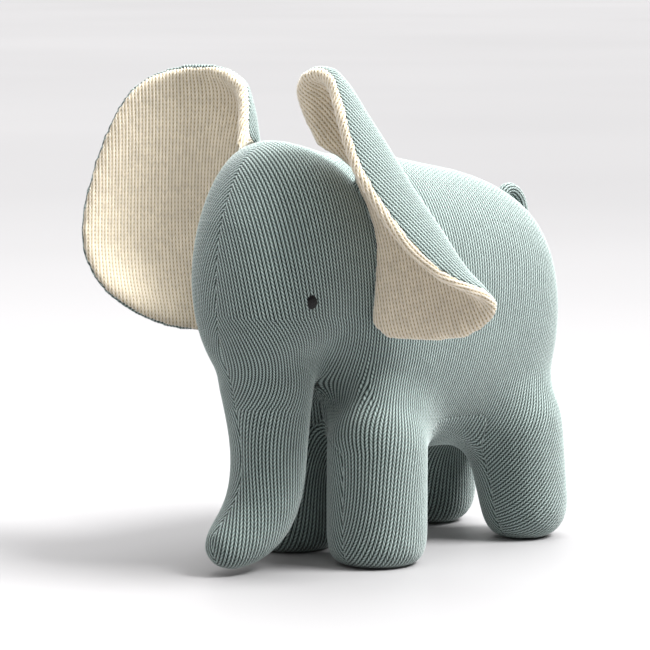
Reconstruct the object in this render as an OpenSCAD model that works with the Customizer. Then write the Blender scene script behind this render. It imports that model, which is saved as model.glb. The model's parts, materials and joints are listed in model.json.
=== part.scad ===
// Stuffed elephant of knitted fabric: a body with a head, a hanging trunk, four legs, two
// padded ears and a cord tail. It stands on the plane z = 0 and faces -Y; its left side is +X.
// The origin is on the floor, under the middle of the whole toy.

/* [Body] */
// Length of the body from the forehead to the rump
body_length = 257; // [250:1:264]
// Height of the crown of the head above the floor
body_height = 254; // [246:1:262]
// Width of the body over the flanks
body_width = 122; // [118:1:126]
// Thickness of the knitted cover
cover_t = 2; // [1.5:0.1:2.5]

/* [Legs] */
// Distance between the centre lines of the left and right front legs
stance_width = 72; // [68:1:74]
// Distance between the centre lines of the front and rear hips
stance_length = 121; // [112:1:122]
// Radius of a front leg
front_leg_r = 29; // [27:0.5:30]
// Radius of a rear leg at the hip
rear_leg_r = 30; // [27:0.5:30]
// Radius of a rear leg at the toe
rear_toe_r = 26; // [22:0.5:26]
// Height of the hips above the floor
hip_height = 72; // [70:1:76]
// Backward lean of the rear legs in degrees
rear_leg_lean = 9; // [4:1:9]
// Outward lean of the rear legs in degrees
rear_leg_splay = 3; // [0:1:4]
// Furthest swing of a leg either way in degrees
leg_swing = 10; // [5:1:12]

/* [Trunk] */
// Radius of the trunk where it leaves the head
trunk_r = 28; // [26:0.5:29]

/* [Ears] */
// Half of an ear's thickness in its padded middle
ear_half_t = 4.5; // [4:0.25:5.5]
// Half of an ear's thickness at its rim
ear_rim_half_t = 2.5; // [2.25:0.25:3]

/* [Face] */
// Width of an embroidered eye
eye_width = 6; // [5:0.5:8]
// Height of an embroidered eye
eye_height = 8.5; // [7:0.5:10]

/* [Tail] */
// Diameter of the tail cord
tail_d = 8; // [6:0.5:9]

/* [Hidden] */

// Colours of the yarns
SAGE = [0.55, 0.65, 0.63];
CREAM = [0.91, 0.86, 0.77];
WADDING = [0.96, 0.96, 0.94];
BLACK = [0.06, 0.06, 0.06];

// The middle of the feet, seen from the origin
FEET = [0, 25, 0];

// Running gap between a moving part and the body
gap = 0.6;
// Gap between a cover and the stuffing inside it
fill_gap = 0.1;

// Stations from rump to forehead, in the toy's own sizes before they are fitted to the driving
// dimensions: [y, middle height, half height, half width, squareness]
STATIONS = [
    [ 98, 147,  1.5,  1.5, 2.0],
    [ 96, 145, 41, 32, 2.1],
    [ 86, 141, 62, 48, 2.25],
    [ 68, 142, 74, 57, 2.35],
    [ 40, 144, 83, 60, 2.35],
    [  6, 147, 87, 61, 2.3],
    [-30, 151, 90, 60, 2.3],
    [-50, 151, 90.5, 57.5, 2.3],
    [-64, 155.5, 87, 55, 2.3],
    [-72, 167, 76, 53, 2.35],
    [-79, 178.5, 65.5, 51.3, 2.4],
    [-90, 185.5, 61.5, 50.3, 2.4],
    [-104, 189, 62.5, 49.5, 2.35],
    [-119, 187, 66, 47, 2.2],
    [-136, 178, 66, 41, 1.95],
    [-148, 171, 54, 32, 1.9],
    [-156, 169, 34, 19, 1.9],
    [-159, 168,  1.5,  1.5, 2.0]
];
fit_x = body_width / 122;
fit_y = body_length / 257;
fit_z = body_height / 254;

// Rings along the body, and steps round one side panel and half of the gusset
BODY_RINGS = 40;
SIDE_STEPS = 15;
GUSSET_STEPS = 5;
// Where the gusset's seam runs, in degrees round a ring from the top
SEAM_ANGLE = 145;

// Trunk stations from its root to its tip: [y, z, radius]
TRUNK = [
    [-119, 112, 28],
    [-118,  96, 25],
    [-117,  72, 22],
    [-119,  49, 21.5],
    [-127,  32, 20.5],
    [-140,  22, 18],
    [-153,  16, 14],
    [-160,  12.5, 9.5],
    [-163,  11.5, 1]
];
TRUNK_PIVOT = [0, -119, 112];
// How much wider the mouth of the trunk's socket is
TRUNK_MOUTH = 4;
// Which way the left ear's front face looks from its middle surface
FRONT = 1;
// Where an eye sits on the body, and how far it stands proud
EYE_U = 0.7843;
EYE_ANGLE = 107.5;
EYE_RISE = 0.9;
// The tail's route over the rump to its knot
TAIL = [
    [0, 86, 208], [0, 91, 213], [0, 98, 212.5], [0, 104.5, 206], [0, 107.5, 195], [0, 107.5, 181],
    [0, 107, 166], [0, 106.5, 151]
];
TAIL_KNOT_R = 5.5;
TRUNK_RINGS = 18;
TRUNK_STEPS = 12;
trunk_fit = trunk_r / 28;

// ---- Curves and surfaces -----------------------------------------------------------------

function hold(i, n) = max(0, min(n - 1, i));

// A smooth curve through four values, from b to c as t goes from 0 to 1
function spline4(a, b, c, d, t) =
    0.5 * (2 * b + (c - a) * t + (2 * a - 5 * b + 4 * c - d) * t * t
    + (3 * b - a - 3 * c + d) * t * t * t);

// A smooth curve through the rows of a table, as u goes from 0 to 1
function along(rows, u) =
    let (
        n = len(rows),
        s = u * (n - 1),
        i = min(n - 2, floor(s))
    )
    spline4(rows[hold(i - 1, n)], rows[i], rows[i + 1], rows[hold(i + 2, n)], s - i);

function unit(v) = v / max(1e-9, norm(v));

// A sine or cosine made squarer, for a ring between an ellipse and a rectangle
function squarer(s, n) = sign(s) * pow(abs(s), 2 / n);

// The point of the body at u along it and a degrees round it from the top
function body_point(u, a) =
    let (s = along(STATIONS, u))
    [
        fit_x * s[3] * squarer(sin(a), s[4]),
        fit_y * s[0],
        fit_z * (s[1] + s[2] * squarer(cos(a), s[4]))
    ];

// The middle of the body's ring at u
function body_middle(u) =
    let (s = along(STATIONS, u))
    [0, fit_y * s[0], fit_z * s[1]];

// The body's outward direction at u, a
function body_normal(u, a) =
    let (
        du = body_point(min(1, u + 0.004), a) - body_point(max(0, u - 0.004), a),
        da = body_point(u, a + 1) - body_point(u, a - 1)
    )
    unit(cross(du, da));

// The body point moved inwards by depth, kept on the centre plane where the ring crosses it
function body_inner(u, a, depth) =
    let (
        p = body_point(u, a),
        m = body_middle(u),
        reach = norm(p - m),
        q = p - body_normal(u, a) * min(depth, reach * 0.6)
    )
    [abs(p[0]) < 0.01 ? 0 : q[0], q[1], q[2]];

// Two numberings of the corners of a sheet of rows by cols points, as quads
function sheet(rows, cols, first, flip) = [
    for (i = [0 : rows - 2], j = [0 : cols - 2])
    let (
        a = first + i * cols + j,
        q = [a, a + 1, a + cols + 1, a + cols]
    )
    flip ? [q[3], q[2], q[1], q[0]] : q
];

// The walls that join the rims of two sheets of rows by cols points
function walls(rows, cols) =
    let (
        n = rows * cols,
        rim = concat(
            [for (j = [0 : cols - 2]) j],
            [for (i = [0 : rows - 2]) i * cols + cols - 1],
            [for (j = [cols - 1 : -1 : 1]) (rows - 1) * cols + j],
            [for (i = [rows - 1 : -1 : 1]) i * cols]
        ),
        k = len(rim)
    )
    [for (i = [0 : k - 1]) [rim[(i + 1) % k], rim[i], rim[i] + n, rim[(i + 1) % k] + n]];

// Each quad as two triangles
function split(quads) = [for (q = quads, h = [0, 1]) h == 0 ? [q[0], q[1], q[2]] : [q[0], q[2], q[3]]];

// A closed slab between an outer and an inner grid of points
module slab(outer, inner) {
    rows = len(outer);
    cols = len(outer[0]);
    points = concat([for (r = outer, p = r) p], [for (r = inner, p = r) p]);
    faces = concat(sheet(rows, cols, 0, false), sheet(rows, cols, rows * cols, true), walls(rows, cols));
    polyhedron(points, split(faces), convexity = 6);
}

// A closed skin over a stack of rings, each a closed loop of points
module stack(rings) {
    rows = len(rings);
    cols = len(rings[0]);
    points = [for (r = rings, p = r) p];
    sides = [
        for (i = [0 : rows - 2], j = [0 : cols - 1])
        [i * cols + j, i * cols + (j + 1) % cols, (i + 1) * cols + (j + 1) % cols, (i + 1) * cols + j]
    ];
    caps = [
        [for (j = [cols - 1 : -1 : 0]) j],
        [for (j = [0 : cols - 1]) (rows - 1) * cols + j]
    ];
    polyhedron(points, concat(split(sides), caps), convexity = 6);
}

// ---- Joint clearances --------------------------------------------------------------------

// Where the front hips are, seen from the middle of the feet
FRONT_HIP_Y = -62;
// Height of the underside of the belly
BELLY_HEIGHT = 58;
// How far a leg runs on below the floor before its sole is cut flat
SOLE_CUT = 1.5;

function hip(side, front) = [
    side * stance_width / 2,
    FRONT_HIP_Y + (front ? 0 : stance_length),
    hip_height
];

// The profile of a leg about its own axis, with the hip at the origin: from the middle of the
// sole round to the top of the dome
function leg_profile(hip_r, toe_r, corner, depth) =
    let (foot = -hip_height - SOLE_CUT)
    concat(
        [[0, foot + depth]],
        [
            for (a = [-90 : 15 : 0])
            [toe_r - corner + (corner - depth) * cos(a), foot + corner + (corner - depth) * sin(a)]
        ],
        [for (a = [0 : 10 : 90]) [(hip_r - depth) * cos(a), (hip_r - depth) * sin(a)]]
    );

// Moves a leg from its own axis to its place under the body
module at_leg(side, front) {
    translate(hip(side, front))
    rotate(front ? [0, 0, 0] : [rear_leg_lean, -side * rear_leg_splay, 0])
    children();
}

// The space that a leg sweeps: a ball socket over a wider mouth
module leg_room(side, front) {
    room_r = (front ? front_leg_r : rear_leg_r) + gap;
    mouth_r = room_r + (hip_height - BELLY_HEIGHT) * tan(leg_swing + 2);
    at_leg(side, front)
    union() {
        rotate([0, 90, 0])
        sphere(r = room_r, $fn = 64);
        translate([0, 0, -hip_height])
        cylinder(h = hip_height - gap, r = mouth_r, $fn = 64);
    }
}

module all_leg_rooms() {
    for (side = [-1, 1], front = [true, false])
    leg_room(side, front);
}

// The space that the trunk sweeps
module trunk_room() {
    room_r = trunk_r + gap;
    translate(TRUNK_PIVOT)
    union() {
        sphere(r = room_r, $fn = 64);
        translate([0, 0, -2 * trunk_r])
        cylinder(h = 2 * trunk_r - gap, r = room_r + TRUNK_MOUTH, $fn = 64);
    }
}

// ---- Body --------------------------------------------------------------------------------

module placed() {
    translate(FEET)
    children();
}

module body_openings() {
    difference() {
        children();
        all_leg_rooms();
        trunk_room();
    }
}

// One panel of the body between two angles round its rings
module body_panel(from, to, steps) {
    us = [for (i = [0 : BODY_RINGS]) i / BODY_RINGS];
    angles = [for (j = [0 : steps]) from + (to - from) * j / steps];
    outer = [for (u = us) [for (a = angles) body_point(u, a)]];
    inner = [for (u = us) [for (a = angles) body_inner(u, a, cover_t)]];
    body_openings()
    slab(outer, inner);
}

module left_side_panel() {
    color(SAGE)
    placed()
    body_panel(0, SEAM_ANGLE, SIDE_STEPS);
}

module right_side_panel() {
    color(SAGE)
    placed()
    mirror([1, 0, 0])
    body_panel(0, SEAM_ANGLE, SIDE_STEPS);
}

module belly_gusset() {
    color(SAGE)
    placed()
    body_panel(SEAM_ANGLE, 360 - SEAM_ANGLE, 2 * GUSSET_STEPS);
}

module body_stuffing() {
    steps = 2 * (SIDE_STEPS + GUSSET_STEPS);
    color(WADDING)
    placed()
    body_openings()
    stack([
        for (i = [1 : BODY_RINGS - 1])
        [for (j = [0 : steps - 1]) body_inner(i / BODY_RINGS, j * 360 / steps, cover_t + fill_gap)]
    ]);
}

// ---- Trunk -------------------------------------------------------------------------------

// The trunk's centre, direction and radius at u; u below 0 runs over the dome at its root
function trunk_centre(u) = let (s = along(TRUNK, u)) [0, s[0], s[1]];
function trunk_heading(u) = unit(trunk_centre(min(1, u + 0.01)) - trunk_centre(max(0, u - 0.01)));

// A ring of the trunk's point at a degrees from its front, at a depth under its surface
function trunk_point(u, a, depth) =
    let (
        c = trunk_centre(u),
        d = u < 0.02 ? [0, 0, -1] : trunk_heading(u),
        forward = [0, d[2], -d[1]],
        r = max(0.6, trunk_fit * along(TRUNK, u)[2] - depth)
    )
    c + r * (sin(a) * [1, 0, 0] + cos(a) * forward);

// A point of the dome over the trunk's root, e degrees above the pivot
function dome_point(e, a, depth) =
    let (r = trunk_r - depth)
    TRUNK_PIVOT + r * [sin(a) * cos(e), -cos(a) * cos(e), sin(e)];

function trunk_rows(angles, depth) = concat(
    [for (e = [86 : -16 : 6]) [for (a = angles) dome_point(e, a, depth)]],
    [for (i = [0 : TRUNK_RINGS]) [for (a = angles) trunk_point(i / TRUNK_RINGS, a, depth)]]
);

module trunk_half() {
    angles = [for (j = [0 : TRUNK_STEPS]) j * 180 / TRUNK_STEPS];
    slab(trunk_rows(angles, 0), trunk_rows(angles, cover_t));
}

module trunk_cover_left() {
    color(SAGE)
    placed()
    trunk_half();
}

module trunk_cover_right() {
    color(SAGE)
    placed()
    mirror([1, 0, 0])
    trunk_half();
}

module trunk_stuffing() {
    angles = [for (j = [0 : 2 * TRUNK_STEPS - 1]) j * 180 / TRUNK_STEPS];
    color(WADDING)
    placed()
    stack(trunk_rows(angles, cover_t + fill_gap));
}

// ---- Legs --------------------------------------------------------------------------------

module leg_form(front, depth) {
    hip_r = front ? front_leg_r : rear_leg_r;
    toe_r = front ? front_leg_r : rear_toe_r;
    corner = front ? 13 : 18;
    rotate_extrude($fn = 64)
    polygon(leg_profile(hip_r, toe_r, corner, depth));
}

// Everything above a height, out to the size of the toy
module above(z) {
    translate([-body_length, -body_length, z])
    cube([2 * body_length, 2 * body_length, body_height]);
}

module leg_cover(side, front) {
    difference() {
        intersection() {
            at_leg(side, front)
            leg_form(front, 0);
            above(0);
        }
        intersection() {
            at_leg(side, front)
            leg_form(front, cover_t);
            above(cover_t);
        }
    }
}

module leg_stuffing(side, front) {
    intersection() {
        at_leg(side, front)
        leg_form(front, cover_t + fill_gap);
        above(cover_t + fill_gap);
    }
}

module front_left_leg_cover() {
    color(SAGE)
    placed()
    leg_cover(1, true);
}

module front_right_leg_cover() {
    color(SAGE)
    placed()
    leg_cover(-1, true);
}

module rear_left_leg_cover() {
    color(SAGE)
    placed()
    leg_cover(1, false);
}

module rear_right_leg_cover() {
    color(SAGE)
    placed()
    leg_cover(-1, false);
}

module front_left_leg_stuffing() {
    color(WADDING)
    placed()
    leg_stuffing(1, true);
}

module front_right_leg_stuffing() {
    color(WADDING)
    placed()
    leg_stuffing(-1, true);
}

module rear_left_leg_stuffing() {
    color(WADDING)
    placed()
    leg_stuffing(1, false);
}

module rear_right_leg_stuffing() {
    color(WADDING)
    placed()
    leg_stuffing(-1, false);
}

// ---- Ears --------------------------------------------------------------------------------

// The middle surface of each ear. The rows fan out from the lower end of the root to its upper
// end. Each has a point on the root, one that the cupped surface bends towards, and one on the rim.
LEFT_EAR = [
    [[51, -81, 147], [57, -80, 142], [61, -78, 139]],
    [[53, -81, 160], [86, -68, 149], [107, -63, 142]],
    [[53.5, -80, 179], [101, -59, 172], [127, -57, 162]],
    [[52.5, -79, 197], [107, -52, 198], [115, -91, 178]],
    [[48.5, -82, 215], [88, -72, 246], [101, -114, 203]],
    [[43.5, -85, 229], [64, -89, 290], [80, -129, 244]],
    [[41, -87, 237], [42, -104, 306], [58, -126, 292]],
    [[40, -89, 241], [30, -117, 282], [38, -129, 287]],
    [[40, -91, 242], [36, -102, 248], [34, -110, 252]]
];
RIGHT_EAR = [
    [[-52, -82, 139], [-62, -90, 134], [-73, -101, 134]],
    [[-52, -82, 150], [-83, -95, 140], [-88, -125, 140]],
    [[-53, -83, 162], [-109, -100, 156], [-109, -149, 160]],
    [[-53, -83, 176], [-120, -103, 180], [-122, -156, 190]],
    [[-53, -83, 191], [-119, -99, 208], [-121, -146, 235]],
    [[-52, -83, 205], [-110, -90, 248], [-108, -128, 280]],
    [[-49, -83, 217], [-93, -76, 282], [-83, -103, 294]],
    [[-45, -84, 226], [-72, -67, 286], [-51, -91, 283]],
    [[-40, -87, 235], [-50, -76, 258], [-39, -105, 243]]
];
// Steps from an ear's root to its rim, and along the rim
EAR_STEPS = 12;
EAR_FAN = 24;

// The ear's middle surface at s out from the root and t up from the root's lower end
function ear_middle(grid, s, t) =
    let (row = along(grid, t))
    (1 - s) * (1 - s) * row[0] + 2 * s * (1 - s) * row[1] + s * s * row[2];

function ear_normal(grid, s, t) =
    let (
        e = 0.01,
        ds = ear_middle(grid, min(1, s + e), t) - ear_middle(grid, max(0, s - e), t),
        dt = ear_middle(grid, s, min(1, t + e)) - ear_middle(grid, s, max(0, t - e))
    )
    unit(cross(ds, dt));

function ear_half(s, t) =
    let (edge = min(1, min(min(s, 1 - s), min(t, 1 - t)) / 0.2))
    ear_rim_half_t + (ear_half_t - ear_rim_half_t) * (1 - pow(1 - edge, 2));

// A grid of points on one face of the ear, at a depth under it, that leaves out a number of
// steps at the rim and comes down to a height of its own there
function ear_layer(grid, face, depth, inset, rim_h) = [
    for (i = [inset : EAR_FAN - inset]) [
        for (j = [inset : EAR_STEPS - inset])
        let (
            s = j / EAR_STEPS,
            t = i / EAR_FAN,
            at_rim = min(min(i, EAR_FAN - i), min(j, EAR_STEPS - j)) == inset,
            h = at_rim ? rim_h : ear_half(s, t) - depth
        )
        ear_middle(grid, s, t) + face * h * ear_normal(grid, s, t)
    ]
];

// One face of an ear's cover: 1 is the lining, on the front, and -1 is the back
module ear_skin(grid, face) {
    outer = ear_layer(grid, face, 0, 0, ear_rim_half_t);
    inner = ear_layer(grid, face, cover_t, 0, 0);
    if (face > 0)
        slab(inner, outer);
    else
        slab(outer, inner);
}

module ear_filling(grid) {
    rim_h = 0.3;
    depth = cover_t + fill_gap;
    slab(ear_layer(grid, -1, depth, 1, rim_h), ear_layer(grid, 1, depth, 1, rim_h));
}

// The stitches that hold an ear, slanted over the two faces of its root
module ear_root_stitches(grid) {
    count = 12;
    thread_r = 0.7;
    stitch = 6;
    for (k = [0 : count - 1], face = [-1, 1]) {
        t = 0.08 + 0.84 * k / (count - 1);
        n = ear_normal(grid, 0.05, t);
        along_root = unit(ear_middle(grid, 0.05, t + 0.02) - ear_middle(grid, 0.05, t - 0.02));
        out = unit(ear_middle(grid, 0.1, t) - ear_middle(grid, 0, t));
        lie = unit(out + 0.5 * along_root);
        middle = ear_middle(grid, 0.06, t) + face * (ear_half(0.06, t) + 0.2) * n;
        translate(middle - lie * stitch / 2)
        rotate([0, acos(lie[2]), atan2(lie[1], lie[0])])
        cylinder(h = stitch, r = thread_r, $fn = 8);
    }
}

// The middle surface of the right ear runs the other way round, so its faces are swapped
module left_ear_lining() {
    color(CREAM)
    placed()
    ear_skin(LEFT_EAR, FRONT);
}

module left_ear_back() {
    color(SAGE)
    placed()
    ear_skin(LEFT_EAR, -FRONT);
}

module left_ear_wadding() {
    color(WADDING)
    placed()
    ear_filling(LEFT_EAR);
}

module left_ear_root_stitches() {
    color(SAGE)
    placed()
    ear_root_stitches(LEFT_EAR);
}

module right_ear_lining() {
    color(CREAM)
    placed()
    ear_skin(RIGHT_EAR, -FRONT);
}

module right_ear_back() {
    color(SAGE)
    placed()
    ear_skin(RIGHT_EAR, FRONT);
}

module right_ear_wadding() {
    color(WADDING)
    placed()
    ear_filling(RIGHT_EAR);
}

module right_ear_root_stitches() {
    color(SAGE)
    placed()
    ear_root_stitches(RIGHT_EAR);
}

// ---- Eyes --------------------------------------------------------------------------------

module eye(side) {
    p = body_point(EYE_U, EYE_ANGLE);
    n = body_normal(EYE_U, EYE_ANGLE);
    place = [side * p[0], p[1], p[2]];
    out = [side * n[0], n[1], n[2]];
    translate(place)
    rotate([0, acos(out[2]), atan2(out[1], out[0])])
    scale([eye_height / 2, eye_width / 2, EYE_RISE])
    sphere(r = 1, $fn = 24);
}

module left_eye() {
    color(BLACK)
    placed()
    eye(1);
}

module right_eye() {
    color(BLACK)
    placed()
    eye(-1);
}

// ---- Tail --------------------------------------------------------------------------------

// A round tube along a route in the plane x = 0
module tube(route, r, sides, rings) {
    stack([
        for (i = [0 : rings])
        let (
            u = i / rings,
            c = along(route, u),
            d = unit(along(route, min(1, u + 0.01)) - along(route, max(0, u - 0.01))),
            up = [0, d[2], -d[1]]
        )
        [for (j = [0 : sides - 1]) c + r * (sin(j * 360 / sides) * [1, 0, 0] + cos(j * 360 / sides) * up)]
    ]);
}

module tail_cord() {
    color(SAGE)
    placed()
    tube(TAIL, tail_d / 2, 12, 14);
}

module tail_knot() {
    color(SAGE)
    placed()
    translate(TAIL[len(TAIL) - 1] - [0, 0, TAIL_KNOT_R])
    sphere(r = TAIL_KNOT_R, $fn = 32);
}

// ---- The toy -----------------------------------------------------------------------------

left_side_panel();
right_side_panel();
belly_gusset();
body_stuffing();
trunk_cover_left();
trunk_cover_right();
trunk_stuffing();
front_left_leg_cover();
front_left_leg_stuffing();
front_right_leg_cover();
front_right_leg_stuffing();
rear_left_leg_cover();
rear_left_leg_stuffing();
rear_right_leg_cover();
rear_right_leg_stuffing();
left_ear_back();
left_ear_lining();
left_ear_wadding();
left_ear_root_stitches();
right_ear_back();
right_ear_lining();
right_ear_wadding();
right_ear_root_stitches();
left_eye();
right_eye();
tail_cord();
tail_knot();
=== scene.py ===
"""A stuffed elephant in sage and cream knitting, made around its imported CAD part.

The cover starts as the CAD part's own panels.  They are joined and rounded over, swollen like a
stuffed cover, cut along the seams, laid flat, and knitted: every stitch is real geometry, in the
wales and courses of the flat panel.
"""

import json
import math

import bmesh
import bpy
import numpy as np
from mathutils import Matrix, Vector
from mathutils.bvhtree import BVHTree

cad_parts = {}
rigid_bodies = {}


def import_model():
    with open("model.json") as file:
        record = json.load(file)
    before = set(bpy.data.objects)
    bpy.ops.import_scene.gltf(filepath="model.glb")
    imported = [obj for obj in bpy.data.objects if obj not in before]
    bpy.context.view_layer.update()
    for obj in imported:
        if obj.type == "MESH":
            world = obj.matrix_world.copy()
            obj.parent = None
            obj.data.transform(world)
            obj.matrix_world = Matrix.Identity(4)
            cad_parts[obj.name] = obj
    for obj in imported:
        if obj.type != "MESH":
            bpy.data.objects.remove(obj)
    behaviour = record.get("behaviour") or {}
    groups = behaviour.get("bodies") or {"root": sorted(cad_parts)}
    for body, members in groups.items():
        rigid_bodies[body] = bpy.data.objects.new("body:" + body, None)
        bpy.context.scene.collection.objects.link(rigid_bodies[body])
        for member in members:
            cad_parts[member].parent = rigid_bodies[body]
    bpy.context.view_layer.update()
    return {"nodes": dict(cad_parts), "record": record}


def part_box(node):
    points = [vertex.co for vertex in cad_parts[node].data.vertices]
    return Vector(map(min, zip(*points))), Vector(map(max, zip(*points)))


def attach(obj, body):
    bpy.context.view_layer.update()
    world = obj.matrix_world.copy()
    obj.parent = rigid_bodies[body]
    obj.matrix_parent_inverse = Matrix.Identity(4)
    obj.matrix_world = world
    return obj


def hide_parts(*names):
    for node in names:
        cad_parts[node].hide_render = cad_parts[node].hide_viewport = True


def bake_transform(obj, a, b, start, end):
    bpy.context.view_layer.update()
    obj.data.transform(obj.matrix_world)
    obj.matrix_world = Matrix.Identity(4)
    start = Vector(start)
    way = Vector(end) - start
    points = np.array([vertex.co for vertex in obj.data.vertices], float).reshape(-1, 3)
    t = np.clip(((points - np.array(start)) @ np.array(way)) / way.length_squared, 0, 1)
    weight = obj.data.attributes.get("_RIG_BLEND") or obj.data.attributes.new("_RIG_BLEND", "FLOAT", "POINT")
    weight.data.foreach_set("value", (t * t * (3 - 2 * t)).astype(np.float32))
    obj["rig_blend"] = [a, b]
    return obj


for unused in list(bpy.data.objects):
    bpy.data.objects.remove(unused)
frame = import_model()
MM = 0.001

# ---- Sizes --------------------------------------------------------------------------------

VOXEL = 4 * MM               # the grid on which the panels are joined
LEG_FILLET = 11 * MM         # how softly a leg grows out of the body
HAUNCH_FILLET = 26 * MM      # the same on its outer side, where one panel covers both
TRUNK_FILLET = 5 * MM        # less, as the chest comes up close behind it
WALE = 4.2 * MM              # width of one stitch
COURSE = 2.35 * MM           # height of one stitch
YARN_RISE = 0.95 * MM        # how far the yarn stands above the gaps
FLANGE = 1.4 * MM            # one of the two turns of a panel's edge into its seam
SHRINK = 2.3 * MM            # what remeshing and smoothing take off the body's form
BODY_PUFF = 2.5 * MM         # the most that stuffing pushes the cover out between its seams
EAR_VOXEL = 2.5 * MM
EAR_PUFF = 1.5 * MM

# ---- Small tools --------------------------------------------------------------------------


def link(obj):
    bpy.context.scene.collection.objects.link(obj)
    return obj


def new_object(name, bm):
    mesh = bpy.data.meshes.new(name)
    bm.to_mesh(mesh)
    bm.free()
    return link(bpy.data.objects.new(name, mesh))


def settle(obj):
    """Applies the object's modifiers."""
    graph = bpy.context.evaluated_depsgraph_get()
    mesh = bpy.data.meshes.new_from_object(obj.evaluated_get(graph))
    old = obj.data
    obj.modifiers.clear()
    obj.data = mesh
    bpy.data.meshes.remove(old)
    return obj


def modified(obj, kind, **settings):
    modifier = obj.modifiers.new(kind.lower(), kind)
    for key, value in settings.items():
        setattr(modifier, key, value)
    return settle(obj)


def remeshed(obj, size=VOXEL):
    modified(obj, "REMESH", mode="VOXEL", voxel_size=size)
    return outer_shell(obj)


def swollen(obj, distance):
    return modified(obj, "DISPLACE", mid_level=0, strength=distance)


def smoothed(obj, times):
    return modified(obj, "SMOOTH", factor=0.5, iterations=times)


def outer_shell(obj):
    """Keeps the largest connected piece of a mesh."""
    bm = bmesh.new()
    bm.from_mesh(obj.data)
    seen = set()
    shells = []
    for start in bm.verts:
        if start in seen:
            continue
        seen.add(start)
        shell = [start]
        for vert in shell:
            for edge in vert.link_edges:
                other = edge.other_vert(vert)
                if other not in seen:
                    seen.add(other)
                    shell.append(other)
        shells.append(shell)
    shells.sort(key=len)
    loose = [vert for shell in shells[:-1] for vert in shell]
    bmesh.ops.delete(bm, geom=loose, context="VERTS")
    bm.to_mesh(obj.data)
    bm.free()
    return obj


def joined(name, meshes):
    bm = bmesh.new()
    for mesh in meshes:
        bm.from_mesh(mesh)
    return new_object(name, bm)


def dropped(*objects):
    for obj in objects:
        bpy.data.objects.remove(obj)


# ---- The body as one swollen form ---------------------------------------------------------

TORSO = ["left_side_panel", "right_side_panel", "belly_gusset", "body_stuffing"]
HIP_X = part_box("front_left_leg_cover")
HIP_X = (HIP_X[0].x + HIP_X[1].x) / 2


def limb_on_torso(limb, fillet):
    meshes = [frame["nodes"][n].data for n in TORSO + limb]
    obj = remeshed(joined("limb", meshes))
    swollen(obj, fillet)
    remeshed(obj)
    return swollen(obj, -fillet)


def outer_side(obj, x):
    """The part of a closed form that lies beyond a plane across X, closed again."""
    bm = bmesh.new()
    bm.from_mesh(obj.data)
    geom = bm.verts[:] + bm.edges[:] + bm.faces[:]
    cut = bmesh.ops.bisect_plane(bm, geom=geom, plane_co=(x, 0, 0), plane_no=(1, 0, 0),
                                 clear_inner=True)
    edges = [g for g in cut["geom_cut"] if isinstance(g, bmesh.types.BMEdge)]
    bmesh.ops.triangle_fill(bm, edges=edges, use_beauty=True)
    bm.to_mesh(obj.data)
    bm.free()
    return obj


def body_form():
    trunk = ["trunk_cover_left", "trunk_cover_right", "trunk_stuffing"]
    forms = [limb_on_torso(trunk, TRUNK_FILLET)]
    for leg in ("front_left_leg", "rear_left_leg"):
        nodes = [leg + "_cover", leg + "_stuffing"]
        forms.append(limb_on_torso(nodes, LEG_FILLET))
        forms.append(outer_side(limb_on_torso(nodes, HAUNCH_FILLET), HIP_X))
    form = remeshed(joined("body_form", [f.data for f in forms]))
    dropped(*forms)
    return smoothed(form, 8)


# ---- Seams --------------------------------------------------------------------------------

LEG_TOP = 72 * MM
REAR_SPLAY = math.tan(math.radians(3))
THROAT = -67 * MM            # no gusset further forward than this: that is the trunk
# Heights between which the gusset narrows from the legs' middles to nothing
CHEST_TAPER = (68 * MM, 84 * MM)
RUMP_TAPER = (82 * MM, 128 * MM)
# Between the legs the gusset comes up the flanks: how far out, where along, and to what height
FLANK_HALF = 62 * MM
FLANK_ALONG = (-8 * MM, 10 * MM, 38 * MM, 56 * MM)
FLANK_TAPER = (78 * MM, 95 * MM)
# Above HEAD_LOW the wales run as on the head, and below TRUNK_HIGH as on the trunk
HEAD_LOW, TRUNK_HIGH = 152 * MM, 98 * MM
SHOULDER = -50 * MM          # behind here the flanks keep the body's wales
TURN_STEPS = 150             # how often the change between the two is evened out


def ramp(x, low, high):
    """A smooth step from 0 at low to 1 at high."""
    t = np.clip((x - low) / (high - low), 0, 1)
    return t * t * (3 - 2 * t)


def gusset_half(y, z):
    """Half the width of the belly gusset at a place on the body."""
    rear = ramp(y, -30 * MM, 30 * MM)
    low = CHEST_TAPER[0] + rear * (RUMP_TAPER[0] - CHEST_TAPER[0])
    high = CHEST_TAPER[1] + rear * (RUMP_TAPER[1] - CHEST_TAPER[1])
    splay = rear * np.maximum(LEG_TOP - z, 0) * REAR_SPLAY
    at_legs = (HIP_X + splay) * (1 - ramp(z, low, high))
    between = ramp(y, *FLANK_ALONG[:2]) * (1 - ramp(y, *FLANK_ALONG[2:]))
    return at_legs + between * (FLANK_HALF * (1 - ramp(z, *FLANK_TAPER)) - at_legs)


def coordinates(mesh):
    co = np.empty(len(mesh.vertices) * 3)
    mesh.vertices.foreach_get("co", co)
    return co.reshape(-1, 3)


def place(mesh, co):
    mesh.vertices.foreach_set("co", np.ascontiguousarray(co).ravel())
    mesh.update()


def scored(mesh, side):
    """Cuts edges into a mesh where the value that each vertex has in side passes zero."""
    bm = bmesh.new()
    bm.from_mesh(mesh)
    home = bm.verts.layers.float_vector.new("home")
    sides = bm.verts.layers.float.new("side")
    for vert, value in zip(bm.verts, side):
        vert[home] = vert.co
        vert[sides] = value
        vert.co.x = value
    geom = bm.verts[:] + bm.edges[:] + bm.faces[:]
    bmesh.ops.bisect_plane(bm, geom=geom, plane_co=(0, 0, 0), plane_no=(1, 0, 0), dist=1e-5)
    for vert in bm.verts:
        vert.co = vert[home]
    bm.to_mesh(mesh)
    bm.free()


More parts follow.
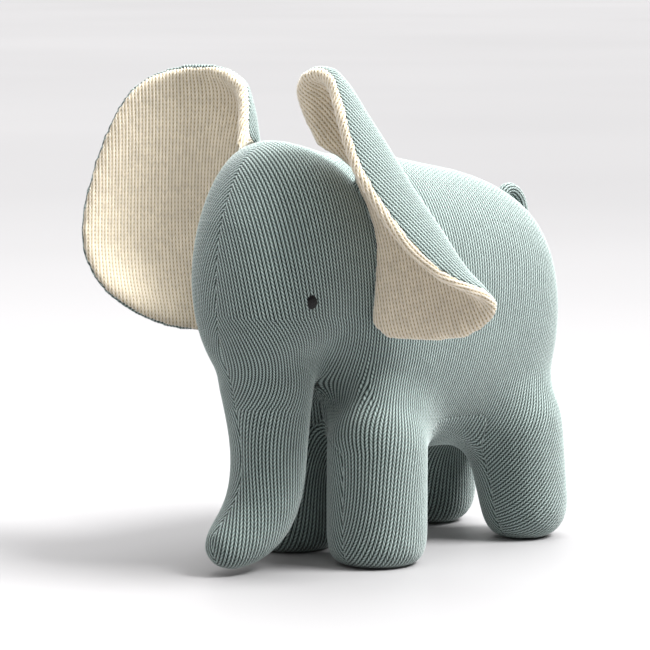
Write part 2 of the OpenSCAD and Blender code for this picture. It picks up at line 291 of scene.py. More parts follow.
def eased(side, reach):
    """Lets a cut pass through the vertices that lie within reach of it, so it leaves no slivers."""
    side[np.abs(side) < reach] = 0
    return side


def halved(mesh):
    """Keeps the left half of a mesh, cut clean at the plane x = 0."""
    co = coordinates(mesh)
    co[np.abs(co[:, 0]) < VOXEL / 4, 0] = 0
    place(mesh, co)
    bm = bmesh.new()
    bm.from_mesh(mesh)
    geom = bm.verts[:] + bm.edges[:] + bm.faces[:]
    bmesh.ops.bisect_plane(bm, geom=geom, plane_co=(0, 0, 0), plane_no=(1, 0, 0),
                           clear_inner=True, dist=1e-5)
    bm.to_mesh(mesh)
    bm.free()


def beyond_gusset(co):
    """How far each point lies outside the belly gusset, in X; it is below zero on the gusset."""
    apart = (co[:, 1] < THROAT) | (co[:, 2] > RUMP_TAPER[1] + 8 * MM)
    return np.where(apart, 10 * MM, co[:, 0] - gusset_half(co[:, 1], co[:, 2]))


def tree_of(*meshes):
    bm = bmesh.new()
    for mesh in meshes:
        bm.from_mesh(mesh)
    tree = BVHTree.FromBMesh(bm)
    bm.free()
    return tree


def distances(tree, points):
    return np.array([tree.find_nearest(Vector(p))[3] for p in points])


def marked_hanging(mesh):
    """Marks the trunk with 1 and the head, chest and legs with 0, for the way their wales run.

    Between them, below the eyes and on the throat, the value changes as evenly as it can.
    """
    co = coordinates(mesh)
    trunk = tree_of(frame["nodes"]["trunk_cover_left"].data)
    rest = tree_of(*[frame["nodes"][node].data for node in TORSO[:3] + ["front_left_leg_cover"]])
    near_trunk = distances(trunk, co) < distances(rest, co)
    high, low = co[:, 2] > HEAD_LOW, co[:, 2] < TRUNK_HIGH
    hanging = low & near_trunk
    on_leg_cover = (co[:, 2] < LEG_TOP) & ~near_trunk
    held = high | (co[:, 1] > SHOULDER) | hanging | on_leg_cover
    share = np.where(low, near_trunk, ramp(-co[:, 2], -HEAD_LOW, -TRUNK_HIGH))
    share = np.where(held & ~hanging, 0.0, share)
    share = spread(mesh, share, held, TURN_STEPS)
    mesh.attributes.new("hanging", "FLOAT", "POINT").data.foreach_set("value", share)


def panel(mesh, name, positive, mirrored=False):
    """One side of a scored mesh, with its edge turned into the seam."""
    bm = bmesh.new()
    bm.from_mesh(mesh)
    side = bm.verts.layers.float["side"]
    out = bm.verts.layers.float_vector.new("out")
    for vert in bm.verts:
        normal = vert.normal.copy()
        if mirrored is not None and abs(vert.co.x) < 1e-5:
            normal.x = 0
        vert[out] = normal.normalized()
    other = [f for f in bm.faces if (sum(v[side] for v in f.verts) > 0) != positive]
    bmesh.ops.delete(bm, geom=other, context="FACES")
    obj = new_object(name, bm)
    if mirrored:
        modified(obj, "MIRROR", merge_threshold=1e-5)
    bm = bmesh.new()
    bm.from_mesh(obj.data)
    out = bm.verts.layers.float_vector["out"]
    if mirrored:
        for vert in bm.verts:
            if vert.co.x < 0 and vert[out].x * vert.normal.x < 0:
                vert[out] = Vector((-vert[out].x, vert[out].y, vert[out].z))
    for turn in range(2):
        edges = [e for e in bm.edges if e.is_boundary]
        grown = bmesh.ops.extrude_edge_only(bm, edges=edges)["geom"]
        for vert in grown:
            if isinstance(vert, bmesh.types.BMVert):
                vert.co -= vert[out] * FLANGE
    bmesh.ops.recalc_face_normals(bm, faces=bm.faces[:])
    bm.to_mesh(obj.data)
    bm.free()
    return obj


# ---- Stuffing pressure --------------------------------------------------------------------


def puffed(obj, pinned, most):
    """Blows a cover up by cloth simulation, held at its seams."""
    before = coordinates(obj.data)
    seam = obj.vertex_groups.new(name="seam")
    seam.add([int(k) for k in np.nonzero(pinned)[0]], 1, "REPLACE")
    cloth = obj.modifiers.new("cloth", "CLOTH")
    cloth.settings.vertex_group_mass = "seam"
    cloth.settings.use_pressure = True
    cloth.settings.uniform_pressure_force = 4
    cloth.settings.effector_weights.gravity = 0
    cloth.point_cache.frame_start = 1
    cloth.point_cache.frame_end = 20
    for step in range(1, 21):
        bpy.context.scene.frame_set(step)
    settle(obj)
    bpy.context.scene.frame_set(1)
    obj.vertex_groups.clear()
    move = np.nan_to_num(coordinates(obj.data) - before)
    length = np.linalg.norm(move, axis=1, keepdims=True)
    move *= most * np.tanh(length / most) / np.maximum(length, 1e-9)
    place(obj.data, before + spread(obj.data, move, pinned))
    return obj


def spread(mesh, values, held, times=3):
    """Evens out a value over a mesh, apart from the vertices held."""
    edges = np.empty(len(mesh.edges) * 2, np.int64)
    mesh.edges.foreach_get("vertices", edges)
    a, b = edges.reshape(-1, 2).T
    count = np.bincount(np.r_[a, b], minlength=len(mesh.vertices))
    count = np.maximum(count, 1).reshape([-1] + [1] * (values.ndim - 1))
    for _ in range(times):
        total = np.zeros_like(values)
        np.add.at(total, a, values[b])
        np.add.at(total, b, values[a])
        values = np.where(held.reshape(count.shape), values, (values + total / count) / 2)
    return values


# ---- Flat patterns ------------------------------------------------------------------------


def laid_flat(obj, along):
    """Lays a panel flat, in metres, with V running the way the wales do, and subdivides it.

    Where it is marked as hanging, the flat pattern is turned until the wales run along there too.
    It may then lie over the rest, so each triangle also gets the number of its part of the pattern.
    """
    bpy.ops.object.select_all(action="DESELECT")
    bpy.context.view_layer.objects.active = obj
    obj.select_set(True)
    obj.data.uv_layers.new(name="flat")
    bpy.ops.object.mode_set(mode="EDIT")
    bpy.ops.mesh.select_all(action="SELECT")
    bpy.ops.uv.unwrap(method="MINIMUM_STRETCH", margin=0, iterations=20)
    bpy.ops.object.mode_set(mode="OBJECT")
    modified(obj, "SUBSURF", levels=1, uv_smooth="PRESERVE_BOUNDARIES")
    mesh = obj.data
    mesh.calc_loop_triangles()
    loops = np.empty(len(mesh.loop_triangles) * 3, np.int64)
    mesh.loop_triangles.foreach_get("loops", loops)
    corner = np.empty(len(mesh.loops), np.int64)
    mesh.loops.foreach_get("vertex_index", corner)
    uv = np.empty(len(mesh.loops) * 2)
    mesh.uv_layers["flat"].uv.foreach_get("vector", uv)
    uv = uv.reshape(-1, 2)[loops].reshape(-1, 3, 2)
    co = coordinates(mesh)
    verts = corner[loops].reshape(-1, 3)
    points = co[verts]
    normals = np.empty(len(mesh.vertices) * 3)
    mesh.vertex_normals.foreach_get("vector", normals)
    normals = normals.reshape(-1, 3)[verts]

    def area(p):
        a, b = p[:, 1] - p[:, 0], p[:, 2] - p[:, 0]
        if p.shape[2] == 2:
            return np.abs(a[:, 0] * b[:, 1] - a[:, 1] * b[:, 0])
        return np.linalg.norm(np.cross(a, b), axis=1)

    uv *= math.sqrt(area(points).sum() / area(uv).sum())
    flat = uv.reshape(-1, 2)
    flat -= flat.mean(0)
    corners = points.reshape(-1, 3)

    def turned(chosen, share, about):
        """Turns the pattern by a share of the angle that stands the chosen part up."""
        level = along(corners[chosen])
        offset = flat[chosen] - flat[chosen].mean(0)
        slope = np.linalg.lstsq(offset, level - level.mean(), rcond=None)[0]
        angle = math.atan2(slope[0], slope[1]) * share
        x, y = (flat - about).T
        c, s = np.cos(angle), np.sin(angle)
        return np.stack([c * x - s * y, s * x + c * y], 1) + about

    flat[:] = turned(np.ones(len(flat), bool), 1.0, np.zeros(2))
    part = np.zeros(len(points), int)
    if "hanging" in mesh.attributes:
        share = np.empty(len(mesh.vertices))
        mesh.attributes["hanging"].data.foreach_get("value", share)
        share = share[verts].reshape(-1)
        flat[:] = turned(share > 0.9, share, flat[(share > 0.3) & (share < 0.7)].mean(0))
        part[:] = share.reshape(-1, 3).mean(1) > 0.5
    return points, normals, uv, part


# ---- Knitting -----------------------------------------------------------------------------

# A stitch is a V of two steep legs.  Its grid has six columns across, from one gap between
# wales to the next, and three rows up.  The rows climb with the legs, so the holes at the V's
# foot lie half a stitch lower than those between wales.
COLUMNS, ROWS = 6, 3
CLIMB = np.array([1.5, 1.0, 0.5, 0.0, 0.5, 1.0])      # in courses
GAP, LEG = [0.0, 0.5, 0.5], [0.72, 1.0, 0.97]
CREST = np.array([GAP, LEG, LEG, GAP, LEG, LEG])      # how high the yarn stands: column, row


def knitted(points, normals, uv, part, wale=WALE, course=COURSE, rise=YARN_RISE, seed=1):
    """Real stitches over a panel that has been laid flat.

    Returns the vertices, the quads, and for each vertex its crest, tint and place in the stitches.
    """
    step_u, step_v = wale / COLUMNS, course / ROWS
    low, high = uv.min(1), uv.max(1)
    first_i = np.ceil(low[:, 0] / step_u).astype(int)
    last_i = np.floor(high[:, 0] / step_u).astype(int)
    i0, i1 = first_i.min(), last_i.max()
    j0 = int(math.floor(low[:, 1].min() / step_v)) - ROWS * 2
    j1 = int(math.ceil(high[:, 1].max() / step_v)) + ROWS * 2
    place_of = np.full((2, i1 - i0 + 1, j1 - j0 + 1, 3), np.nan)
    normal_of = np.zeros_like(place_of)
    a, b, c = uv[:, 0], uv[:, 1], uv[:, 2]
    e1, e2 = b - a, c - a
    det = e1[:, 0] * e2[:, 1] - e1[:, 1] * e2[:, 0]
    ok = np.abs(det) > 1e-14
    det = np.where(ok, det, 1.0)
    for di in range(int((last_i - first_i).max()) + 1):
        i = first_i + di
        climb = CLIMB[i % COLUMNS] * course
        first_j = np.ceil((low[:, 1] - climb) / step_v).astype(int)
        last_j = np.floor((high[:, 1] - climb) / step_v).astype(int)
        for dj in range(int((last_j - first_j).max()) + 1):
            j = first_j + dj
            x = i * step_u - a[:, 0]
            y = j * step_v + climb - a[:, 1]
            s = (x * e2[:, 1] - y * e2[:, 0]) / det
            t = (e1[:, 0] * y - e1[:, 1] * x) / det
            hit = ok & (s >= -1e-6) & (t >= -1e-6) & (s + t <= 1 + 1e-6)
            s, t = s[hit, None], t[hit, None]
            ii, jj = i[hit] - i0, j[hit] - j0
            for grid, value in ((place_of, points), (normal_of, normals)):
                value = value[hit]
                value = value[:, 0] * (1 - s - t) + value[:, 1] * s + value[:, 2] * t
                grid[part[hit], ii, jj] = value
    columns = (np.arange(i1 - i0 + 1) + i0) % COLUMNS
    rows = (np.arange(j1 - j0 + 1) + j0) % ROWS
    crest = CREST[columns[:, None], rows[None, :]]
    normal_of /= np.maximum(np.linalg.norm(normal_of, axis=3, keepdims=True), 1e-9)
    place_of += normal_of * ((crest - 0.5) * rise)[..., None]

    def corners_of(grid):
        left, right = grid[..., :-1, :], grid[..., 1:, :]
        return np.stack([left[..., :-1], right[..., :-1], right[..., 1:], left[..., 1:]], -1)

    whole = np.isfinite(place_of[..., 0])
    index = np.arange(whole.size).reshape(whole.shape)
    quads = corners_of(whole).all(-1)
    faces = corners_of(index)[quads]
    # The stitches between the two parts of the pattern
    between_parts = corners_of(whole.any(0)).all(-1) & ~quads.any(0)
    bridges = corners_of(np.where(whole[0], index[0], index[1]))[between_parts]
    sides = place_of.reshape(-1, 3)[bridges]
    longest = np.linalg.norm(sides - np.roll(sides, 1, axis=1), axis=2).max(1)
    faces = np.concatenate([faces, bridges[longest < wale]])
    if np.median(det[ok]) < 0:
        faces = faces[:, ::-1]
    used, faces = np.unique(faces, return_inverse=True)
    faces = faces.reshape(-1, 4)
    layer, ui, uj = np.unravel_index(used, whole.shape)
    stitch_i = (ui + i0) // COLUMNS
    stitch_j = (uj + j0) // ROWS
    noise = np.random.default_rng(seed).random((4096,))
    tint = noise[(stitch_i * 131 + stitch_j * 71 + (stitch_i * stitch_j) % 53) % 4096]
    stitch = np.stack([(ui + i0) / COLUMNS, (uj + j0) / ROWS], 1)
    return place_of[layer, ui, uj], faces, crest[ui, uj], tint, stitch


def taken(knit, wanted):
    """The quads of a knit that are wanted, with their vertices."""
    used, faces = np.unique(knit[1][wanted], return_inverse=True)
    return (knit[0][used], faces.reshape(-1, 4)) + tuple(k[used] for k in knit[2:])


def together(knits):
    """Several knits as one."""
    first = np.cumsum([0] + [len(k[0]) for k in knits])
    faces = [k[1] + start for k, start in zip(knits, first)]
    parts = [np.concatenate(p) for p in zip(*knits)]
    return (parts[0], np.concatenate(faces)) + tuple(parts[2:])


def flipped(knit):
    """The mirror image of a knit across x = 0."""
    return (knit[0] * [-1, 1, 1], knit[1][:, ::-1]) + tuple(knit[2:])


def mesh_of(name, knit, material):
    """A piece with the attributes that the yarn's material reads."""
    co, faces, crest, tint, stitch = knit
    mesh = bpy.data.meshes.new(name)
    mesh.vertices.add(len(co))
    mesh.vertices.foreach_set("co", co.ravel())
    mesh.loops.add(faces.size)
    mesh.loops.foreach_set("vertex_index", faces.ravel())
    mesh.polygons.add(len(faces))
    mesh.polygons.foreach_set("loop_start", np.arange(len(faces)) * 4)
    mesh.polygons.foreach_set("use_smooth", np.ones(len(faces), bool))
    mesh.update(calc_edges=True)
    # crest, the yarn's height, also sets the yarn's colour: painted shade in the holes between stitches
    mesh.attributes.new("crest", "FLOAT", "POINT").data.foreach_set("value", crest)
    mesh.attributes.new("tint", "FLOAT", "POINT").data.foreach_set("value", tint)
    mesh.uv_layers.new(name="stitch").uv.foreach_set("vector", stitch[faces.ravel()].ravel())
    mesh.materials.append(material)
    return link(bpy.data.objects.new(name, mesh))


# ---- Materials ----------------------------------------------------------------------------


def colour(hexadecimal):
    """A linear colour from an sRGB one."""
    parts = [int(hexadecimal[k:k + 2], 16) / 255 for k in (0, 2, 4)]
    return [p / 12.92 if p <= 0.04045 else ((p + 0.055) / 1.055) ** 2.4 for p in parts] + [1]


def material(name, roughness, sheen):
    mat = bpy.data.materials.new(name)
    mat.use_nodes = True
    shader = mat.node_tree.nodes["Principled BSDF"]
    shader.inputs["Roughness"].default_value = roughness
    shader.inputs["Sheen Weight"].default_value = sheen
    shader.inputs["Sheen Roughness"].default_value = 0.5
    shader.inputs["Specular IOR Level"].default_value = 0.3
    return mat, mat.node_tree, shader


def added(tree, kind, **inputs):
    node = tree.nodes.new("ShaderNode" + kind)
    for key, value in inputs.items():
        node.inputs[key.replace("_", " ")].default_value = value
    return node


def attribute(tree, name):
    node = tree.nodes.new("ShaderNodeAttribute")
    node.attribute_name = name
    return node.outputs["Fac"]


def noise(tree, size, detail=2):
    """Noise over the object's own coordinates, with lumps about as large as size."""
    place_in = tree.nodes.new("ShaderNodeTexCoord")
    node = added(tree, "TexNoise", Scale=1 / size, Detail=detail)
    tree.links.new(place_in.outputs["Object"], node.inputs["Vector"])
    return node.outputs["Fac"]


def between(tree, value, low, high):
    """A value from 0 to 1 brought between low and high."""
    node = added(tree, "MapRange", To_Min=low, To_Max=high)
    tree.links.new(value, node.inputs["Value"])
    return node.outputs["Result"]


def times(tree, a, b):
    node = tree.nodes.new("ShaderNodeMath")
    node.operation = "MULTIPLY"
    tree.links.new(a, node.inputs[0])
    tree.links.new(b, node.inputs[1])
    return node.outputs["Value"]


def shaded(tree, shader, tone, factor):
    """Gives the shader a colour, made lighter or darker by a factor."""
    node = tree.nodes.new("ShaderNodeVectorMath")
    node.operation = "SCALE"
    tree.links.new(tone, node.inputs[0])
    tree.links.new(factor, node.inputs["Scale"])
    tree.links.new(node.outputs["Vector"], shader.inputs["Base Color"])


def bumped(tree, shader, height, distance, strength=1.0):
    node = added(tree, "Bump", Distance=distance, Strength=strength)
    tree.links.new(height, node.inputs["Height"])
    tree.links.new(node.outputs["Normal"], shader.inputs["Normal"])


def tones(tree, value, *stops):
    """A colour from a value: stops are (place, hexadecimal colour)."""
    node = tree.nodes.new("ShaderNodeValToRGB")
    ramp_of = node.color_ramp
    while len(ramp_of.elements) < len(stops):
        ramp_of.elements.new(0.5)
    for element, (at, tone) in zip(ramp_of.elements, stops):
        element.position = at
        element.color = colour(tone)
    tree.links.new(value, node.inputs["Fac"])
    return node.outputs["Color"]


def yarn_material(name, *stops):
    """Knitting yarn: darkened by painted shade in the holes, lighter on its crests, plied, with loose
    fibres.
    """
    mat, tree, shader = material(name, roughness=0.92, sheen=0.45)
    # Colour by the yarn's height: the low stops are painted shade in the holes between stitches
    tone = tones(tree, attribute(tree, "crest"), *stops)
    stitch_tint = between(tree, attribute(tree, "tint"), 0.93, 1.07)
    wide_tint = between(tree, noise(tree, 35 * MM), 0.93, 1.07)
    shaded(tree, shader, tone, times(tree, stitch_tint, wide_tint))
    stitch = tree.nodes.new("ShaderNodeUVMap")
    stitch.uv_map = "stitch"
    plies = added(tree, "TexWave", Scale=1.0, Distortion=1.5, Detail=1.0)
    plies.bands_direction = "DIAGONAL"
    tree.links.new(stitch.outputs["UV"], plies.inputs["Vector"])
    fibres = noise(tree, 0.5 * MM, 3)
    bumped(tree, shader, times(tree, plies.outputs["Fac"], fibres), 0.35 * MM, 0.6)
    return mat


def thread_material(name, dark, light, roughness, sheen):
    mat, tree, shader = material(name, roughness, sheen)
    fibres = noise(tree, 0.8 * MM, 3)
    shaded(tree, shader, tones(tree, fibres, (0.3, dark), (0.7, light)),
           between(tree, noise(tree, 9 * MM), 0.95, 1.05))
    bumped(tree, shader, fibres, 0.1 * MM)
    return mat


# In both yarns the darkest stops, low on the crest, are painted shade in the holes between stitches
SAGE = yarn_material("sage_knit_yarn",
                     (0, "040706"), (0.5, "242e2b"), (0.76, "647570"), (1, "b8c8c5"))
CREAM = yarn_material("cream_knit_yarn",
                      (0, "84704f"), (0.42, "c3b18d"), (0.75, "e2d5be"), (1, "eae3d6"))
THREAD = thread_material("sage_sewing_thread", "7d9591", "93aaa6", 0.8, 0.2)
EYE_THREAD = thread_material("black_satin_thread", "050506", "101012", 0.38, 0.0)
FIBRE = thread_material("white_polyester_fibre", "dfe0da", "f7f7f3", 0.95, 0.4)

# ---- Body pieces --------------------------------------------------------------------------

JOINTS = {joint["name"]: joint for joint in frame["record"]["behaviour"]["joints"]}
LEGS = ("front_left_leg", "front_right_leg", "rear_left_leg", "rear_right_leg")
LEG_BEND = (10 * MM, 37 * MM)     # below the hip: where a leg starts to turn, and turns whole
LEG_REACH = 50 * MM
# The trunk bends from a point behind its pivot's height, where it meets the chest, to another
TRUNK_BEND = (Vector((0, 27 * MM, -4 * MM)), Vector((0, 10 * MM, -33.5 * MM)))


def pivot(joint):
    return Vector(JOINTS[joint]["pos_m"])


TRUNK_START, TRUNK_END = [pivot("trunk_bend") + offset for offset in TRUNK_BEND]


def on_trunk(middle):
    way = np.array(TRUNK_END - TRUNK_START)
    return ((middle - np.array(TRUNK_START)) @ way > 0) & (middle[:, 1] < THROAT)


def on_leg(middle, leg):
    hip = pivot(leg + "_swing")
    near = np.abs(middle[:, 1] - hip.y) < LEG_REACH
    return near & (middle[:, 2] < hip.z - LEG_BEND[0]) & (middle[:, 0] * hip.x > 0)


def shared_out(knit, rest, shares):
    """Puts the stitches of a panel with the body that they move on."""
    middle = knit[0][knit[1]].mean(1)
    left = np.ones(len(middle), bool)
    trunk = "trunk_left_knit" if rest.startswith("left") else "trunk_right_knit"
    limbs = [(trunk, on_trunk(middle))]
    limbs += [(leg + "_knit", on_leg(middle, leg)) for leg in LEGS]
    for name, wanted in limbs:
        wanted &= left
        left &= ~wanted
        if wanted.any():
            shares.setdefault(name, []).append(taken(knit, wanted))
    shares.setdefault(rest, []).append(taken(knit, left))


form = body_form()
halved(form.data)
seam_side = eased(beyond_gusset(coordinates(form.data)), VOXEL / 4)
scored(form.data, seam_side)


def seam_values(mesh):
    values = np.empty(len(mesh.vertices))
    mesh.attributes["side"].data.foreach_get("value", values)
    return values


on_seam = (np.abs(seam_values(form.data)) < 1e-6) | (np.abs(coordinates(form.data)[:, 0]) < 1e-6)
swollen(form, SHRINK - BODY_PUFF / 2)
puffed(form, on_seam, BODY_PUFF)
standing = coordinates(form.data)
standing[:, 2] = np.maximum(standing[:, 2], YARN_RISE / 2)
standing[np.abs(standing[:, 0]) < 0.5 * MM, 0] = 0
place(form.data, standing)
head = BVHTree.FromPolygons([v.co for v in form.data.vertices],
                            [p.vertices for p in form.data.polygons])

side_panel = panel(form.data, "side_panel", True)
gusset = panel(form.data, "gusset", False, mirrored=True)
marked_hanging(side_panel.data)
left_knit = knitted(*laid_flat(side_panel, lambda p: p[:, 2]))
gusset_knit = knitted(*laid_flat(gusset, lambda p: p[:, 0]), seed=2)
dropped(form, side_panel, gusset)

shares = {}
shared_out(left_knit, "left_side_panel_knit", shares)
shared_out(flipped(left_knit), "right_side_panel_knit", shares)
shared_out(gusset_knit, "belly_gusset_knit", shares)
STANDS_FOR = {
    "left_side_panel_knit": ["left_side_panel"],
    "right_side_panel_knit": ["right_side_panel"],
    "belly_gusset_knit": ["belly_gusset"],
    "trunk_left_knit": ["trunk_cover_left"],
    "trunk_right_knit": ["trunk_cover_right"],
}
for name, knits in shares.items():
    piece = mesh_of(name, together(knits), SAGE)
    leg = name.removesuffix("_knit")
    if leg in LEGS:
        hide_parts(leg + "_cover")
        start, end = [pivot(leg + "_swing") - Vector((0, 0, below)) for below in LEG_BEND]
        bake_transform(piece, "root", leg, start=start, end=end)
    else:
        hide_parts(*STANDS_FOR[name])
        if name.startswith("trunk"):
            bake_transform(piece, "root", "trunk", start=TRUNK_START, end=TRUNK_END)
        else:
            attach(piece, "root")

# ---- Stuffing -----------------------------------------------------------------------------

STUFFING_ROOM = 4.5 * MM     # between the stuffing and its CAD solid


def lumpy(obj, size, depth):
    clumps = bpy.data.textures.new(obj.name + "_clumps", "CLOUDS")
    clumps.noise_scale = size
    return modified(obj, "DISPLACE", texture=clumps, mid_level=0.5, strength=depth)


def stuffing(name, node, body):
    """Fibre filling, a little smaller than the CAD solid that it stands for."""
    piece = remeshed(joined(name, [frame["nodes"][node].data]))
    swollen(piece, -STUFFING_ROOM)
    smoothed(piece, 4)
    lumpy(piece, 9 * MM, 1.5 * MM)
    piece.data.materials.append(FIBRE)
    piece.data.shade_smooth()
    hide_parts(node)
    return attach(piece, body)


for body in ("root", "trunk") + LEGS:
    part = "body" if body == "root" else body
    stuffing(part + "_stuffing_fibre", part + "_stuffing", body)

# ---- Ears ---------------------------------------------------------------------------------

ROOT_STEPS = 14
EAR_BEND = 12 * MM           # an ear turns whole at this distance from the head
WEB_END, WEB_HEIGHT = 14 * MM, 15 * MM
TAB_HALF = 2.2 * MM          # half the thickness of the cloth from an ear into the head
WADDING_ROOM = 2.2 * MM
LEFT_ROLL, RIGHT_ROLL = 3.5 * MM, 5.5 * MM       # how far the linings roll over the rims


def across(point):
    """The same point of the left half, for a lookup on the left half of the head."""
    return Vector((abs(point.x), point.y, point.z))


def on_head(point):
    """The nearest point of the head's cover, and the direction out of it."""
    at, out = head.find_nearest(across(point))[:2]
    flip = math.copysign(1, point.x)
    at, out = Vector((at.x * flip, at.y, at.z)), Vector((out.x * flip, out.y, out.z))
    return at, out


def ear_root(ear, skin):
    """Points of an ear's root, and under each one the point inside the head where it is held."""
    low = pivot(ear + "_flap")
    rise = Vector(JOINTS[ear + "_flap"]["axis"])
    rise *= math.copysign(1, rise.z)
    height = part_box(ear + "_root_stitches")[1].z - low.z
    pairs = []
    for k in range(ROOT_STEPS):
        at, out = on_head(low + rise * height * (0.05 + 0.9 * k / (ROOT_STEPS - 1)))
        edge = skin.find_nearest(at - out * 12 * MM)[0]
        at, out = on_head(edge)
        pairs.append((edge + out * 1 * MM, at - out * 7 * MM))
    return pairs


def gathered(pairs):
    """Where the right ear's root runs on over the top of the head, as a low web of its back."""
    last, crown = pairs[-1][0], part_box("left_side_panel")[1].z
    to = Vector((-WEB_END, last.y - 3 * MM, crown))
    more = []
    for t in (0.25, 0.5, 0.75, 1):
        at, out = on_head(last.lerp(to, t))
        more.append((at + out * (WEB_HEIGHT * (1 - t) + 1.5 * MM), at - out * 6 * MM))
    return pairs + more


def root_tab(pairs, half):
    """A slab of cloth from an ear's root into the head."""
    bm = bmesh.new()
    rings = []
    for k, (edge, deep) in enumerate(pairs):
        run = pairs[min(k + 1, len(pairs) - 1)][0] - pairs[max(k - 1, 0)][0]
        thick = run.cross(edge - deep).normalized() * half
        ring = (edge + thick, deep + thick, deep - thick, edge - thick)
        rings.append([bm.verts.new(p) for p in ring])
    for a, b in zip(rings, rings[1:]):
        for i in range(4):
            j = (i + 1) % 4
            bm.faces.new((a[i], a[j], b[j], b[i]))
    bm.faces.new(rings[0][::-1])
    bm.faces.new(rings[-1])
    bmesh.ops.recalc_face_normals(bm, faces=bm.faces[:])
    mesh = bpy.data.meshes.new("root_tab")
    bm.to_mesh(mesh)
    bm.free()
    return mesh


def make_ear(ear, rolled, seed):
    skins = [frame["nodes"][ear + part].data for part in ("_back", "_lining", "_wadding")]
    back, lining = tree_of(skins[0]), tree_of(skins[1])
    pairs = ear_root(ear, tree_of(skins[0], skins[1]))
    tab = root_tab(gathered(pairs) if ear == "right_ear" else pairs, TAB_HALF)
    form = remeshed(joined(ear + "_form", skins + [tab]), EAR_VOXEL)
    smoothed(form, 6)
    co = coordinates(form.data)
    away = np.array([(on_head(Vector(p))[0] - Vector(p)).length for p in co])
    from_back, from_lining = distances(back, co), distances(lining, co)
    side = from_back - from_lining + rolled(co) * ramp(away, 2 * MM, 12 * MM)
    side -= 9 * MM * ramp(np.minimum(from_back, from_lining), 1.5 * MM, 4 * MM)
    side = spread(form.data, side, np.zeros(len(side), bool), 12)
    scored(form.data, eased(side, 0.4 * MM))
    puffed(form, np.abs(seam_values(form.data)) < 1e-6, EAR_PUFF)
    wadding = form.copy()
    wadding.data = form.data.copy()
    link(wadding)
    wadding.name = ear + "_wadding_fibre"
    swollen(wadding, -WADDING_ROOM)
    wadding.data.materials.append(FIBRE)
    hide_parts(ear + "_wadding")
    pieces = [wadding]
    sides = (("_lining", True, CREAM, "cream_knit"), ("_back", False, SAGE, "sage_knit"))
    for part, positive, yarn_of, slot in sides:
        cloth = outer_shell(panel(form.data, ear + part, positive, mirrored=None))
        knit = knitted(*laid_flat(cloth, lambda p: p[:, 2]), seed=seed)
        dropped(cloth)
        piece = mesh_of(ear + part + "_knit", knit, yarn_of)
        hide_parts(ear + part)
        pieces.append(piece)
    dropped(form)
    pieces.append(ladder_stitches(ear, pairs))
    low, high = pairs[0][0], pairs[-1][0]
    middle = (low + high) / 2
    centre = sum(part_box(ear + "_back"), Vector()) / 2
    axis = (high - low).normalized()
    out = centre - middle
    out = (out - axis * out.dot(axis)).normalized()
    for piece in pieces:
        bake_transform(piece, "root", ear, start=middle - out * 1 * MM, end=middle + out * EAR_BEND)


# ---- Threads and cords --------------------------------------------------------------------


def frames_along(path):
    """Directions along and across a path, without twist."""
    run = np.gradient(path, axis=0)
    run /= np.linalg.norm(run, axis=1, keepdims=True)
    first = np.cross(run[0], [0.3, 0.9, 0.2])
    across_it = [first / np.linalg.norm(first)]
    for step in run[1:]:
        side = across_it[-1] - step * (across_it[-1] @ step)
        across_it.append(side / np.linalg.norm(side))
    across_it = np.array(across_it)
    return across_it, np.cross(run, across_it)


def rounded(path, count):
    """A smooth curve of a number of points through a few points."""
    path = np.array(path, float)
    reach = np.vstack([2 * path[0] - path[1], path, 2 * path[-1] - path[-2]])
    at = np.linspace(0, len(path) - 1, count)
    k = np.minimum(at.astype(int), len(path) - 2)
    t = (at - k)[:, None]
    a, b, c, d = reach[k], reach[k + 1], reach[k + 2], reach[k + 3]
    bend, twist = 2 * a - 5 * b + 4 * c - d, 3 * b - a - 3 * c + d
    return ((2 * b) + (c - a) * t + bend * t * t + twist * t ** 3) / 2


def yarn(bm, path, radius, lay):
    """A two-ply yarn or thread along a path, closed at its ends."""
    sides = 10
    path = np.array(path, float)
    u, v = frames_along(path)
    far = np.r_[0, np.cumsum(np.linalg.norm(np.diff(path, axis=0), axis=1))]
    rings = []
    for k, point in enumerate(path):
        taper = math.sqrt(max(0.04, 1 - (2 * k / (len(path) - 1) - 1) ** 8))
        ring = []
        for angle in np.arange(sides) * 2 * math.pi / sides:
            ply = 1 + 0.14 * math.cos(2 * (angle - 2 * math.pi * far[k] / lay))
            offset = (u[k] * math.cos(angle) + v[k] * math.sin(angle)) * radius * ply * taper
            ring.append(bm.verts.new(point + offset))
        rings.append(ring)
    for a, b in zip(rings, rings[1:]):
        for i in range(sides):
            bm.faces.new((a[i], a[(i + 1) % sides], b[(i + 1) % sides], b[i]))
    bm.faces.new(rings[0][::-1])
    bm.faces.new(rings[-1])


def thread_piece(name, bm, mat):
    bmesh.ops.recalc_face_normals(bm, faces=bm.faces[:])
    piece = new_object(name, bm)
    piece.data.materials.append(mat)
    piece.data.shade_smooth()
    return piece


def ladder_stitches(ear, pairs):
    """Small slanted stitches where an ear is sewn to the head."""
    bm = bmesh.new()
    for (low, _), (high, _) in list(zip(pairs, pairs[1:]))[1::2]:
        at, out = on_head(low.lerp(high, 0.5))
        slant = (high - low) * 0.3
        ends = [at - slant - out * 1 * MM, at + out * 0.8 * MM, at + slant - out * 1 * MM]
        yarn(bm, rounded(ends, 9), 0.4 * MM, lay=2 * MM)
    piece = thread_piece(ear + "_ladder_stitches", bm, THREAD)
    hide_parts(ear + "_root_stitches")
    return piece


def lobe(co):
    """How far the right ear's lining rolls over its inner edge, down to where the root gathers."""
    inner = ramp(co[:, 0], -78 * MM, -56 * MM)
    above_root = ramp(-co[:, 0] - co[:, 1], 105 * MM, 114 * MM)
    return RIGHT_ROLL * inner * above_root


make_ear("left_ear", rolled=lambda co: LEFT_ROLL, seed=3)
make_ear("right_ear", rolled=lobe, seed=4)

# ---- Eyes ---------------------------------------------------------------------------------

EYE_STRANDS = 9
EYE_HALF = 3.0 * MM          # half an eye's width


